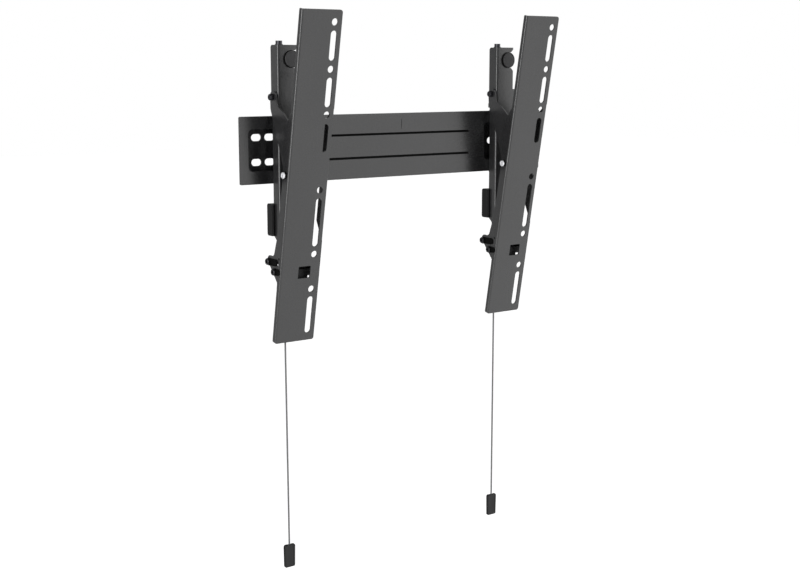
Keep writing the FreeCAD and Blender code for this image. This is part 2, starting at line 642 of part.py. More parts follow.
def nut(y, z, x, thick):
    body = hexagon(lambda a, b: V(x, y + a, z + b), NUT_R, 30).extrude(V(thick, 0, 0))
    return body.cut(rod((x - OVER, y, z), (1, 0, 0), CLAMP_D / 2, thick + 2 * OVER))


def spacer():
    # hollow plastic block that keeps the channel's lower end off the wall
    x0 = UP_LEFT - SPACER_WALL
    x1 = UP_RIGHT + SPACER_WALL
    face = REAR + FACE_AIR
    cheek_back = face + SPACER_EDGE
    low = SPACER_LOW + SPACER_SHELL
    top = SPACER_TOP - SPACER_SHELL
    side = [(face, SPACER_LOW, SPACER_EDGE), (0, SPACER_LOW, SPACER_R), (0, SPACER_TOP, SPACER_R),
            (face, SPACER_TOP, SPACER_EDGE)]
    cheek = [(SPACER_FORE, SPACER_LOW, SPACER_EDGE), (cheek_back, SPACER_LOW), (cheek_back, SPACER_TOP),
             (SPACER_FORE, SPACER_TOP, SPACER_EDGE)]
    block = side_plate(side, x0, x1 - x0)
    block = block.cut(box(x0 + SPACER_WALL, x1 - SPACER_WALL, face + SPACER_SHELL, -SPACER_SHELL, low, top))
    cheeks = [side_plate(cheek, x, SPACER_WALL) for x in (x0, x1 - SPACER_WALL)]
    rib = rod((x0, REAR, low), (0, 0, 1), RIB_R, top - low)
    return block.fuse(cheeks + [rib]).removeSplitter()


def latch():
    # folded catch that hooks behind the plate's lower edge, on its pull rod
    under = -PLATE_EDGE - FACE_AIR
    lip_y = PLATE_BACK + AIR
    rod_low = FOOT_TOP - ROD_IN
    outline = [(STRIP_FRONT, CATCH_LOW), (REAR, CATCH_LOW), (REAR, under - SHEET),
               (lip_y + SHEET, under - SHEET, BEND_R), (lip_y + SHEET, CATCH_UP), (lip_y, CATCH_UP - CATCH_SLOPE),
               (lip_y, under), (STRIP_FRONT, under)]
    strip = side_plate(outline, SLIDE_LEFT, SLIDE_RIGHT - SLIDE_LEFT)
    seat = box(SLIDE_LEFT, SLIDE_RIGHT, WEB_BACK + SEAT_FORE, REAR, CATCH_LOW, CATCH_LOW + SHEET)
    pull = rod((ROD_U, ROD_Y, rod_low), (0, 0, 1), ROD_D / 2, CATCH_LOW + SHEET / 2 - rod_low)
    return strip.fuse([seat, pull]).removeSplitter()


def spring():
    # coil between the shelf and the catch, in short straight runs
    low = SHELF_TOP + SPRING_WIRE / 2 + FACE_AIR
    rise = CATCH_LOW - SPRING_WIRE / 2 - FACE_AIR - low
    count = SPRING_TURNS * SPRING_STEPS
    points = []
    for i in range(count + 1):
        a = 2 * math.pi * i / SPRING_STEPS
        points.append(V(ROD_U + SPRING_R * math.cos(a), ROD_Y + SPRING_R * math.sin(a), low + rise * i / count))
    ring = Part.Wire(Part.makeCircle(SPRING_WIRE / 2, points[0], points[1] - points[0]))
    return Part.makePolygon(points).makePipeShell([ring], True, False, 1)


def foot():
    # pull foot on the rod's lower end, stepped beside the arm's window
    outline = [(FOOT_LEFT, FOOT_TOP, FOOT_R), (FOOT_RIGHT, FOOT_TOP, FOOT_R), (FOOT_RIGHT, FOOT_STEP_TOP, 1),
               (FOOT_STEP, FOOT_STEP_LOW, 1), (FOOT_STEP - FOOT_DRAFT, FOOT_LOW, FOOT_R),
               (FOOT_LEFT, FOOT_LOW, FOOT_R)]
    body = front_plate(outline, FOOT_FRONT, FOOT_BACK - FOOT_FRONT)
    core = box(FOOT_LEFT + CORE_W, FOOT_RIGHT - FOOT_WALL, FOOT_FRONT - OVER, FOOT_FRONT + CORE_DEEP,
               CORE_LOW, FOOT_TOP - FOOT_WALL)
    seat = rod((ROD_U, ROD_Y, FOOT_TOP - ROD_IN), (0, 0, 1), ROD_D / 2, ROD_IN + OVER)
    return body.cut([core, seat]).removeSplitter()


def cord():
    length = FOOT_LOW - CORD_END
    body = rod((CORD_U, CORD_Y, CORD_END), (0, 0, 1), CORD_D / 2, length)
    made = body.Volume / (math.pi * (CORD_D / 2) ** 2)
    print("cord run %.1f mm straight, no bend; length from volume %.1f mm" % (length, made))
    return body


def tag():
    # flat grip with a short neck round the cord's end
    right = [(TAG_W_LOW / 2, TAG_LOW, TAG_R), (TAG_W / 2, TAG_SHOULDER, TAG_R),
             (TAG_NECK, TAG_SHOULDER + TAG_NECK_RISE, TAG_NECK_RISE), (TAG_NECK_TOP, TAG_PEAK)]
    left = [(-q[0],) + q[1:] for q in reversed(right)]
    outline = [(CORD_U + q[0],) + q[1:] for q in right + left]
    body = front_plate(outline, CORD_Y - TAG_T / 2, TAG_T)
    return body.cut(rod((CORD_U, CORD_Y, CORD_END), (0, 0, 1), CORD_D / 2, CORD_IN_TAG))


def pieces():
    return {"upright": upright(), "bumper": bumper(), "height_screw": height_screw(),
            "hook_block": hook_block(), "arm": arm(), "gusset": gusset(),
            "gusset_screw": gusset_screw(), "rivet": rivet(),
            "clamp_screw": ear_screw(CLAMP_Y, CLAMP_Z, IN_LEFT + CLAMP_REACH, UP_LEFT - FACE_AIR),
            "clamp_nut": nut(CLAMP_Y, CLAMP_Z, IN_LEFT + FACE_AIR, CLAMP_NUT_T),
            "lock_screw": ear_screw(LOCK_Y, LOCK_Z, UP_LEFT - FACE_AIR, 0),
            "lock_nut": nut(LOCK_Y, LOCK_Z, SHEET, LOCK_NUT_T),
            "spacer": spacer(), "latch": latch(), "latch_spring": spring(), "latch_foot": foot(),
            "cord": cord(), "tag": tag()}


def main():
    wall_plate().exportStep("parts/wall_plate.step")
    made = pieces()
    outer = (ARM_PITCH + ARM_W) / 2
    for side, x in (("left", -outer), ("right", ARM_PITCH - outer)):
        for name, shape in made.items():
            copy = shape.copy()
            copy.translate(V(x, 0, 0))
            copy.exportStep("parts/%s_%s.step" % (name, side))


main()
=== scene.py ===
import bpy
import json
import math
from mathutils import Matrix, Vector


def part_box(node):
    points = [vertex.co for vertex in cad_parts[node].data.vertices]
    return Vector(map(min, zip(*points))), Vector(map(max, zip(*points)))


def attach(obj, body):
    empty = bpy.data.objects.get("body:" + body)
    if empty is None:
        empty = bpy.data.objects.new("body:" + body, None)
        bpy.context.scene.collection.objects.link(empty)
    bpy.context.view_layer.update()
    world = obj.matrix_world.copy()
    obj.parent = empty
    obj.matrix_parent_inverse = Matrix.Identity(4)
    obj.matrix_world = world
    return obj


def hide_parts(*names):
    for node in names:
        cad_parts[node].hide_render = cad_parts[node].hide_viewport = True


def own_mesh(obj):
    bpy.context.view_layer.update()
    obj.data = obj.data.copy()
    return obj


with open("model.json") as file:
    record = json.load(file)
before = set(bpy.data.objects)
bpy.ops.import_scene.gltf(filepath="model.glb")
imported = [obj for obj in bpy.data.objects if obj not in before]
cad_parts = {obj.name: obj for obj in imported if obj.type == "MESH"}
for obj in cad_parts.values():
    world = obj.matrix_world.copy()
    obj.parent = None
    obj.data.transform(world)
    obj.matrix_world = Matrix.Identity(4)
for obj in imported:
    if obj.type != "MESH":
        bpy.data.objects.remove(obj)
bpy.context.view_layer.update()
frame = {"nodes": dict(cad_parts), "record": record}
record = frame["record"]
SIDES = ("left", "right")

# Outer side of each arm, to a hundredth of a millimetre, and the wall plate's face
ARM_FACE = {side: round(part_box("arm_" + side)[0].x, 5) for side in SIDES}
PLATE_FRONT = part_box("wall_plate")[0].y

# Camera at the photo's place
CAMERA_AT = (-1.06238, -1.45816, 0.10233)
CAMERA_AZIMUTH = -36.232
CAMERA_PITCH = -9.483
FOCAL_PX = 1298.5
FRAME_PX = 800
SENSOR_MM = 36.0

# Studio, in metres
FLOOR_Z = -0.95
FLOOR_REACH = 14.0
FLOOR_COLOUR = "#e8e8e8"
FLOOR_GLOW = 0.62
FLOOR_NO_GLOW_X = -2.0      # mirrors see no glow from the floor left of this place
FLOOR_ALL_GLOW_X = 2.2      # and all of it right of this one
ROOM_DIM = 0.3              # light of the room on the bracket's left
ROOM_BRIGHT = 1.15          # and on its right
ROOM_ASIDE = 0.7            # sideways part of the direction where these two are reached
ROOM_TOP = 0.55             # share of that light from above
ROOM_TOP_FROM = 0.3         # upward part of the direction where it starts to fall to this share
ROOM_TOP_FULL = 0.8         # and where it gets there

# Lamps: places, aims and widths in metres, strengths in watts
FRONT_LAMP_AT = (1.1, -2.2, 1.3)
FRONT_LAMP_AIM = (0, 0, -0.1)
FRONT_LAMP_SIZE = (1.6, 1.6)
FRONT_LAMP_POWER = 12
STRIP_LAMP_AT = (-2.6, -1.0, 0.2)
STRIP_LAMP_AIM = (0, 0, 0)
STRIP_LAMP_SIZE = (1.0, 2.4)
STRIP_LAMP_POWER = 36

# Real sizes behind the patterns, in metres
COAT_PEEL = 0.0007          # orange peel of baked powder
COAT_CLOUD = 0.045          # slow change in how thick the powder lies
MOULD_FLOW = 0.02           # flow shades of moulded plastic
STRAND = 0.0006             # one strand of the woven cord
MOULD_GRAIN = 0.0004        # spark-eroded grain: 0.1 mm in real life, too fine to show, so coarser here
PLATING_FLECK = 0.0009      # flecks of bright plating: 0.2 mm in real life, coarser here so that they show
BLACKENED_FLECK = 0.0006    # flecks of black oxide: 0.2 mm in real life, coarser here for the same reason

# Reliefs and finishes that several materials share
NOISE_LOW = 0.3             # most of a noise lies between these two
NOISE_HIGH = 0.7
RELIEF = 0.0001             # depth of a fine grain, in metres
WEAVE_RELIEF = 0.0002
EDGE_SAMPLES = 4
PLATED_EDGE = 0.0003        # radius that rounds the look of edges, in metres
MOULDED_EDGE = 0.0005
COAT_IOR = 1.6

# Tolerances for choosing faces and edges
FACING = 0.9                # part of a normal along an axis that counts as facing it
SQUARE_ON = 0.99            # the same beside a rounded rim
NEAR = 0.0001               # an edge this close to a plane lies on it, in metres
ALONG = 0.001               # an edge that spans more than this on an axis runs along it, in metres

# How round shapes are made
ROUND_SIDES = 32            # faces round a disc
SMOOTH_ANGLE = 35           # sharper edges than this stay sharp, in degrees
SOFTENED_ANGLE = 40         # and sharper ones than this are rounded where a piece is softened

# Pull cord and its ferrule, in metres
CORD_D = 0.0024
CORD_U = 0.0242             # from the arm's outer side
CORD_Y = -0.0045
FERRULE_LOW_R = 0.0017
FERRULE_TOP_R = 0.0027
FERRULE_H = 0.0065
FERRULE_DROP = 0.0027       # from the cord's exit down to the ferrule's middle
FERRULE_WALL = 0.0004
FERRULE_MOUTH = 0.0006
FERRULE_ROUND = 0.0002
FERRULE_SIDES = 24

# Route of each cord from the latch foot down: how far off plumb it hangs, and its height
CORD_ROUTE = {
    "left": [(0, -0.172), (0.0008, -0.295), (0.0016, -0.418), (0.0024, -0.541)],
    "right": [(0, -0.172), (-0.0001, -0.295), (-0.0002, -0.418), (-0.0003, -0.541)],
}

# Tag on the cord's end
TAG_TOP = -0.5384
TAG_LOW = -0.5695
TAG_HALF = 0.0073
TAG_THICK = 0.0046
TAG_TAPER = (0.93, 0.95, 1)
TAG_ROUND = 0.0004
TAG_BORDER = 0.0016         # round the sunk panel
TAG_WAIST = (1, 0.86, 1)    # the panels leave this share of its thickness
TAG_RIM = 0.0013
TAG_COLLAR = 0.0007

# Matt black strips in the wall plate's two pressed grooves: painted shade in the grooves
GROOVE_HALF = 0.119
GROOVE_Z = 0.0155
GROOVE_H = 0.003
GROOVE_FLOOR = -0.008
SHADE_STRIP_OVER = 0.0002         # the strip laps the groove's edge by this much
SHADE_STRIP_PROUD = 0.0001        # it stands out of the groove and into its floor by this much
SHADE_STRIP_ROUND = 6             # segments of each round corner
SHADE_STRIP_RIM = 0.0004
SHADE_STRIP_TROUGH = 0.0012
ROUND_END = 0.98            # share of half a strip's height that its round ends take

# Rivet that the arm turns on, outwards from the arm's outer side
COLLAR_R = 0.0045
COLLAR_GAP = 0.0002         # between the arm and the collar
COLLAR_OUT = 0.0027
COLLAR_ROUND = 0.0007
RIVET_R = 0.0041
RIVET_SEAT = 0.0002         # how deep the head sits in its collar
RIVET_OUT = 0.0045
RIVET_ROUND = 0.0011
DIMPLE_RIM = 0.0006
DIMPLE_DEPTH = 0.0003

# Cap on the gusset's stud, the same way
STUD_R = 0.0041
STUD_HEAD = 0.0012
STUD_OUT = 0.0027
STUD_ROUND = 0.0009
STUD_RIM = 0.0009
STUD_RECESS = 0.0005

# Oblong washers: half their height, and how far they reach forward of their screw
CLAMP_WASHER = (0.0045, 0.022)
LOCK_WASHER = (0.004, 0.0128)
WASHER_THICK = 0.0014
WASHER_ROUND = 8            # segments of each round corner
WASHER_RIM = 0.0009
WASHER_DISH = 0.0003

# Matt black cup round the bumper's face: painted shade of the bumper's side and of its contact shadow
SHADE_CUP_R = 0.011
SHADE_CUP_BACK = 0.0003         # how far its rim stands behind the face
SHADE_CUP_DEEP = 0.002
SHADE_CUP_WALL = 0.001
SHADE_CUP_HOLLOW = 0.0016
SHADE_CUP_SIDES = 48

# Rib under the latch foot's step, with U from the arm's outer side
RIB_U = (0.0445, 0.0565)
RIB_Y = (-0.0245, -0.0035)
RIB_Z = (-0.1655, -0.1615)
RIB_LEG_U = 0.0485          # the leg stands between the rib's inner end and here
RIB_LEG = 0.0062
RIB_ROUND = 0.0004

# Thread of the height screw
THREAD_R = 0.00225
THREAD_RIDGE = 0.0005
THREAD_LOW = 0.056
THREAD_TURNS = 56
THREAD_PITCH = 0.00125      # 0.8 mm in real life, coarser here so that it shows
THREAD_STEPS = 12

# Return spring of the latch
SPRING_R = 0.0043
SPRING_WIRE = 0.001
SPRING_LOW = -0.1043
SPRING_TOP = -0.0767
SPRING_TURNS = 6
SPRING_STEPS = 28
SPRING_SIDES = 10           # faces round its wire


def rgb(code):
    """sRGB hex to a linear colour."""
    values = [int(code[i:i + 2], 16) / 255 for i in (1, 3, 5)]
    return tuple(v / 12.92 if v <= 0.04045 else ((v + 0.055) / 1.055) ** 2.4 for v in values) + (1.0,)


def node(tree, kind, links=None, **settings):
    """Adds a node; links maps an input name or number to an output socket or a value."""
    made = tree.nodes.new("ShaderNode" + kind)
    for name, value in settings.items():
        setattr(made, name, value)
    for name, value in (links or {}).items():
        if isinstance(value, bpy.types.NodeSocket):
            tree.links.new(value, made.inputs[name])
        else:
            made.inputs[name].default_value = value
    return made


def new_material(name):
    """Starts a material; its patterns lie in the object's own coordinates."""
    mat = bpy.data.materials.new(name)
    mat.use_nodes = True
    tree = mat.node_tree
    shader = tree.nodes["Principled BSDF"]
    where = node(tree, "TexCoord").outputs["Object"]
    return mat, tree, shader, where


def mottle(tree, shader, noise, dark, light):
    """Lets the base colour wander between two near shades with a noise."""
    blend = node(tree, "MapRange", {"Value": noise, "From Min": NOISE_LOW, "From Max": NOISE_HIGH})
    colour = node(tree, "Mix", {0: blend.outputs["Result"], 6: rgb(dark), 7: rgb(light)}, data_type="RGBA")
    tree.links.new(colour.outputs[2], shader.inputs["Base Color"])


def vary_gloss(tree, shader, noise, low, high):
    """Lets the roughness wander between two levels with a noise."""
    gloss = node(tree, "MapRange", {"Value": noise, "From Min": NOISE_LOW, "From Max": NOISE_HIGH,
                                    "To Min": low, "To Max": high})
    tree.links.new(gloss.outputs["Result"], shader.inputs["Roughness"])


def raise_grain(tree, shader, noise, strength, edge_radius):
    """Raises a noise as a fine grain over edges that look rounded."""
    edge = node(tree, "Bevel", {"Radius": edge_radius}, samples=EDGE_SAMPLES)
    bump = node(tree, "Bump", {"Strength": strength, "Distance": RELIEF, "Height": noise,
                               "Normal": edge.outputs["Normal"]})
    tree.links.new(bump.outputs["Normal"], shader.inputs["Normal"])


def powder_coat(name, dark, light, roughness, sheen, worn_edge):
    """Polyester powder baked on steel sheet.

    Its colour is nearly black; the sheen over a fine orange peel gives the eye most of the grey.
    """
    mat, tree, shader, where = new_material(name)
    cloud = node(tree, "TexNoise", {"Vector": where, "Scale": 1 / COAT_CLOUD, "Detail": 3.0})
    mottle(tree, shader, cloud.outputs["Fac"], dark, light)
    peel = node(tree, "TexNoise", {"Vector": where, "Scale": 1 / COAT_PEEL, "Detail": 2.0})
    vary_gloss(tree, shader, peel.outputs["Fac"], roughness - 0.03, roughness + 0.05)
    shader.inputs["Specular IOR Level"].default_value = sheen
    shader.inputs["IOR"].default_value = COAT_IOR
    raise_grain(tree, shader, peel.outputs["Fac"], 0.1, worn_edge)
    return mat


def plated_steel(name, dark, light, roughness, fleck):
    """Plated or blackened steel: a metal whose fine flecks vary its colour and gloss."""
    mat, tree, shader, where = new_material(name)
    spots = node(tree, "TexNoise", {"Vector": where, "Scale": 1 / fleck, "Detail": 4.0})
    mottle(tree, shader, spots.outputs["Fac"], dark, light)
    vary_gloss(tree, shader, spots.outputs["Fac"], roughness - 0.06, roughness + 0.08)
    shader.inputs["Metallic"].default_value = 1.0
    edge = node(tree, "Bevel", {"Radius": PLATED_EDGE}, samples=EDGE_SAMPLES)
    tree.links.new(edge.outputs["Normal"], shader.inputs["Normal"])
    return mat


def moulded(name, dark, light, roughness, gloss_level, strength):
    """Moulded plastic or rubber: flow shades in the colour under a spark-eroded grain."""
    mat, tree, shader, where = new_material(name)
    flow = node(tree, "TexNoise", {"Vector": where, "Scale": 1 / MOULD_FLOW, "Detail": 2.0})
    colour = node(tree, "Mix", {0: flow.outputs["Fac"], 6: rgb(dark), 7: rgb(light)}, data_type="RGBA")
    tree.links.new(colour.outputs[2], shader.inputs["Base Color"])
    grain = node(tree, "TexNoise", {"Vector": where, "Scale": 1 / MOULD_GRAIN, "Detail": 3.0})
    vary_gloss(tree, shader, grain.outputs["Fac"], roughness - 0.05, roughness + 0.1)
    shader.inputs["Specular IOR Level"].default_value = gloss_level
    raise_grain(tree, shader, grain.outputs["Fac"], strength, MOULDED_EDGE)
    return mat


def braid(name, dark, light):
    """Woven nylon cord: two crossing sets of strands give it a grey, slightly fuzzy weave."""
    mat, tree, shader, where = new_material(name)
    split = node(tree, "SeparateXYZ", {"Vector": where})
    sets = []
    for sign in (-1.0, 1.0):
        turn = node(tree, "Math", {0: split.outputs["X"], 1: sign}, operation="MULTIPLY")
        along = node(tree, "Math", {0: split.outputs["Z"], 1: turn.outputs[0]}, operation="ADD")
        phase = node(tree, "Math", {0: along.outputs[0], 1: math.tau / (2 * STRAND)}, operation="MULTIPLY")
        sets.append(node(tree, "Math", {0: phase.outputs[0]}, operation="SINE").outputs[0])
    cross = node(tree, "Math", {0: sets[0], 1: sets[1]}, operation="MAXIMUM").outputs[0]
    blend = node(tree, "MapRange", {"Value": cross, "From Min": -1.0, "From Max": 1.0})
    colour = node(tree, "Mix", {0: blend.outputs["Result"], 6: rgb(dark), 7: rgb(light)}, data_type="RGBA")
    tree.links.new(colour.outputs[2], shader.inputs["Base Color"])
    bump = node(tree, "Bump", {"Strength": 0.6, "Distance": WEAVE_RELIEF, "Height": cross})
    tree.links.new(bump.outputs["Normal"], shader.inputs["Normal"])
    shader.inputs["Roughness"].default_value = 0.85
    shader.inputs["Sheen Weight"].default_value = 0.3
    return mat


def materials():
    """Every finish of the bracket. Each comment says what it is and what it gives the eye."""
    return {
        # Satin powder coat on the wall plate: nearly black, seen as a mid grey where it mirrors the room
        "plate_powder": powder_coat("plate_powder", "#1d1d1e", "#222223", 0.24, 0.78, 0.0004),
        # The same coat on the arms, a shade lighter and a little duller
        "arm_powder": powder_coat("arm_powder", "#242425", "#29292a", 0.28, 0.75, 0.0004),
        # The same coat on the uprights and gussets: their folds stay sharp and catch thin bright lines
        "frame_powder": powder_coat("frame_powder", "#262627", "#2c2c2d", 0.29, 0.8, 0.0001),
        # Black oxide burnt in on the short screws: a dark grey metal, dull on its flats
        "black_screw": plated_steel("black_screw", "#3a3a3d", "#4a4a4d", 0.36, BLACKENED_FLECK),
        # Black oxide worn thin on the long height screws: a lighter grey that shows their thread
        "long_screw": plated_steel("long_screw", "#4c4c50", "#5c5c60", 0.4, BLACKENED_FLECK),
        # Zinc plate on nuts, latches, springs and hook blocks: bluish grey and half bright
        "zinc_steel": plated_steel("zinc_steel", "#8b8c90", "#a6a7ab", 0.34, PLATING_FLECK),
        # Nickel-plated rivet: the one white spot at each pivot
        "bright_rivet": plated_steel("bright_rivet", "#f4f4f8", "#fdfdfe", 0.72, PLATING_FLECK),
        # Soft rubber of the bumpers: a dull, even dark grey
        "soft_black": moulded("soft_black", "#373738", "#3f3f40", 0.6, 0.6, 0.25),
        # Moulded nylon of spacers and latch feet: black, with small soft highlights on its edges
        "black_plastic": moulded("black_plastic", "#0b0b0c", "#111112", 0.42, 0.28, 0.2),
        # Matt near-black: painted shade as the strips in the grooves and the cups round the bumpers, and the
        # own black of collars and washers; without sheen, so they look deep
        "matt_black_and_shade": moulded("matt_black_and_shade", "#060606", "#0a0a0a", 0.8, 0.1, 0.2),
        # Woven nylon of the pull cords: grey and black strands that blend to a mid grey
        "cord_weave": braid("cord_weave", "#3a3a3b", "#8a8a8c"),
        # Moulded plastic of the tags: a satin near-black with an even grain
        "tag_plastic": moulded("tag_plastic", "#1f1f20", "#272728", 0.5, 0.4, 0.25),
    }


def dress(palette):
    """Gives every CAD node the material of its record slot, and the height screws their own."""
    for entry in record["subparts"]:
        obj = frame["nodes"][entry["node"]]
        obj.data.materials.clear()
        obj.data.materials.append(palette[entry["material_slot"]])
    for side in SIDES:
        screw = frame["nodes"]["height_screw_" + side]
        screw.data.materials[0] = palette["long_screw"]


def pull_cord(side, palette):
    """Hanging cord from the latch foot down into its tag."""
    x = ARM_FACE[side] + CORD_U
    route = [(x + aside, CORD_Y, z) for aside, z in CORD_ROUTE[side]]
    curve = bpy.data.curves.new("pull_cord_" + side, "CURVE")
    curve.dimensions = "3D"
    curve.bevel_depth = CORD_D / 2
    curve.bevel_resolution = 5
    curve.use_fill_caps = True
    line = curve.splines.new("NURBS")
    line.points.add(len(route) - 1)
    for point, place in zip(line.points, route):
        point.co = (*place, 1.0)
    line.order_u = 3
    line.use_endpoint_u = True
    line.resolution_u = 12
    piece = bpy.data.objects.new("pull_cord_" + side, curve)
    bpy.context.scene.collection.objects.link(piece)
    curve.materials.append(palette["cord_weave"])
    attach(piece, "pull_latch_" + side)
    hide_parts("cord_" + side)


def middle(name):
    """Middle of a CAD node's box at rest."""
    low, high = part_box(name)
    return (low + high) / 2


def begin(name):
    """Names the primitive just added and moves its place and size into its mesh."""
    piece = bpy.context.object
    piece.name = name
    piece.data.name = name
    bpy.ops.object.transform_apply(location=True, rotation=True, scale=True)
    return piece


def block(name, x, y, z):
    """Box between two values on each axis."""
    bpy.ops.object.select_all(action="DESELECT")
    bpy.ops.mesh.primitive_cube_add(size=1, location=[(low + high) / 2 for low, high in (x, y, z)],
                                    scale=[high - low for low, high in (x, y, z)])
    return begin(name)


def disc(name, at, radius, depth, turn, sides=ROUND_SIDES):
    """Round blank about a place, its axis turned away from upright."""
    bpy.ops.object.select_all(action="DESELECT")
    bpy.ops.mesh.primitive_cylinder_add(vertices=sides, radius=radius, depth=depth, location=at,
                                        rotation=turn)
    return begin(name)


def let_go(piece):
    """Leaves edit mode with nothing of the piece's mesh chosen."""
    bpy.ops.object.mode_set(mode="OBJECT")
    mesh = piece.data
    for row in (mesh.vertices, mesh.edges, mesh.polygons):
        row.foreach_set("select", [False] * len(row))
    return mesh


def pick_faces(piece, test):
    """Opens a piece in edit mode with the faces chosen whose centre and normal pass a test."""
    for face in let_go(piece).polygons:
        face.select = test(face.center, face.normal)
    bpy.ops.object.mode_set(mode="EDIT")
    bpy.ops.mesh.select_mode(type="FACE")


def pick_edges(piece, test):
    """The same for edges, by the places of their two ends."""
    mesh = let_go(piece)
    for edge in mesh.edges:
        a, b = (mesh.vertices[number].co for number in edge.vertices)
        edge.select = test(a, b)
    bpy.ops.object.mode_set(mode="EDIT")
    bpy.ops.mesh.select_mode(type="EDGE")


def sink(piece, test, rim, move):
    """Insets the faces that pass a test and moves what lies inside the rim."""
    pick_faces(piece, test)
    bpy.ops.mesh.inset(thickness=rim)
    bpy.ops.transform.translate(value=move)


def close_up(piece, palette, material, body):
    """Leaves edit mode, smooths the round faces and lets the piece ride on its body."""
    bpy.ops.object.mode_set(mode="OBJECT")
    bpy.ops.object.shade_smooth_by_angle(angle=math.radians(SMOOTH_ANGLE))
    piece.data.materials.append(palette[material])
    bpy.ops.object.select_all(action="DESELECT")
    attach(piece, body)


def soften(piece, width):
    """Small rounded edges all over."""
    bpy.ops.object.mode_set(mode="OBJECT")
    rounding = piece.modifiers.new("rounding", "BEVEL")
    rounding.width = width
    rounding.segments = 2
    rounding.angle_limit = math.radians(SOFTENED_ANGLE)
    bpy.ops.object.modifier_apply(modifier=rounding.name)


def groove_shade_strip(name, z, palette):
    """Matt black strip in a pressed groove, painted shade in the groove, with rounded corners and a shallow
    trough along its face.
    """
    half = GROOVE_H / 2 + SHADE_STRIP_OVER
    reach = GROOVE_HALF + SHADE_STRIP_OVER
    depth = (PLATE_FRONT - SHADE_STRIP_PROUD, GROOVE_FLOOR + SHADE_STRIP_PROUD)
    piece = block(name, (-reach, reach), depth, (z - half, z + half))
    pick_edges(piece, lambda a, b: abs(a.y - b.y) > ALONG)
    bpy.ops.mesh.bevel(offset=half * ROUND_END, segments=SHADE_STRIP_ROUND)
    sink(piece, lambda centre, normal: normal.y < -FACING, SHADE_STRIP_RIM, (0, SHADE_STRIP_TROUGH, 0))
    close_up(piece, palette, "matt_black_and_shade", "wall_plate")


def button(name, place, base, tip, radius, rounding, segments):
    """Round head from its base out to its tip, on the arm's outer side, rounded at the tip's rim."""
    piece = disc(name, ((base + tip) / 2, place.y, place.z), radius, base - tip, (0, math.pi / 2, 0))
    pick_edges(piece, lambda a, b: max(a.x, b.x) < tip + NEAR)
    bpy.ops.mesh.bevel(offset=rounding, segments=segments)
    return piece


def rivet_collar(side, palette):
    """Black collar under the rivet's head."""
    base = ARM_FACE[side] - COLLAR_GAP
    tip = ARM_FACE[side] - COLLAR_OUT
    piece = button("rivet_collar_" + side, middle("rivet_" + side), base, tip, COLLAR_R, COLLAR_ROUND, 3)
    close_up(piece, palette, "matt_black_and_shade", "bracket_" + side)


def rivet_head(side, palette):
    """Low button head on the pivot rivet, domed at its rim and dimpled by the setting tool."""
    base = ARM_FACE[side] - COLLAR_OUT + RIVET_SEAT
    tip = ARM_FACE[side] - RIVET_OUT
    piece = button("rivet_head_" + side, middle("rivet_" + side), base, tip, RIVET_R, RIVET_ROUND, 4)
    sink(piece, lambda centre, normal: normal.x < -SQUARE_ON, DIMPLE_RIM, (DIMPLE_DEPTH, 0, 0))
    close_up(piece, palette, "bright_rivet", "bracket_" + side)


def stud_cap(side, palette):
    """Button cap on the gusset's stud, with a shallow recess in its face."""
    base = ARM_FACE[side] - STUD_HEAD
    tip = ARM_FACE[side] - STUD_OUT
    piece = button("stud_cap_" + side, middle("gusset_screw_" + side), base, tip, STUD_R, STUD_ROUND, 3)
    sink(piece, lambda centre, normal: normal.x < -SQUARE_ON, STUD_RIM, (STUD_RECESS, 0, 0))
    close_up(piece, palette, "black_screw", "bracket_" + side)


def oblong_washer(screw, side, size, palette):
    """Stamped oblong washer under a screw's head, with round ends and a rolled rim."""
    half, reach = size
    place = middle(screw + "_screw_" + side)
    face = ARM_FACE[side]
    piece = block(screw + "_washer_" + side, (face - WASHER_THICK, face), (place.y - reach, place.y + half),
                  (place.z - half, place.z + half))
    pick_edges(piece, lambda a, b: abs(a.x - b.x) > ALONG)
    bpy.ops.mesh.bevel(offset=half * ROUND_END, segments=WASHER_ROUND)
    sink(piece, lambda centre, normal: normal.x < -FACING, WASHER_RIM, (WASHER_DISH, 0, 0))
    close_up(piece, palette, "matt_black_and_shade", "tilt_arm_" + side)


def bumper_shade_cup(side, palette):
    """Matt black cup round the bumper's face, its rim just behind the face: painted shade of the bumper's
    side and of its contact shadow.
    """
    place = middle("bumper_" + side)
    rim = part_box("bumper_" + side)[0].y + SHADE_CUP_BACK
    piece = disc("bumper_shade_cup_" + side, (place.x, rim + SHADE_CUP_DEEP / 2, place.z), SHADE_CUP_R, SHADE_CUP_DEEP,
                 (math.pi / 2, 0, 0), sides=SHADE_CUP_SIDES)
    sink(piece, lambda centre, normal: normal.y < -FACING, SHADE_CUP_WALL, (0, SHADE_CUP_HOLLOW, 0))
    close_up(piece, palette, "matt_black_and_shade", "bracket_" + side)


def foot_rib(side, palette):
    """Rib under the step of the latch foot, with a short leg at its inner end."""
    inner, outer = (ARM_FACE[side] + u for u in RIB_U)
    leg = ARM_FACE[side] + RIB_LEG_U
    piece = block("foot_rib_" + side, (inner, outer), RIB_Y, RIB_Z)
    pick_faces(piece, lambda centre, normal: True)
    bpy.ops.mesh.bisect(plane_co=(leg, 0, 0), plane_no=(1, 0, 0))
    pick_faces(piece, lambda centre, normal: normal.z < -FACING and centre.x < leg)
    bpy.ops.mesh.extrude_region_move(TRANSFORM_OT_translate={"value": (0, 0, -RIB_LEG)})
    soften(piece, RIB_ROUND)
    close_up(piece, palette, "black_plastic", "pull_latch_" + side)


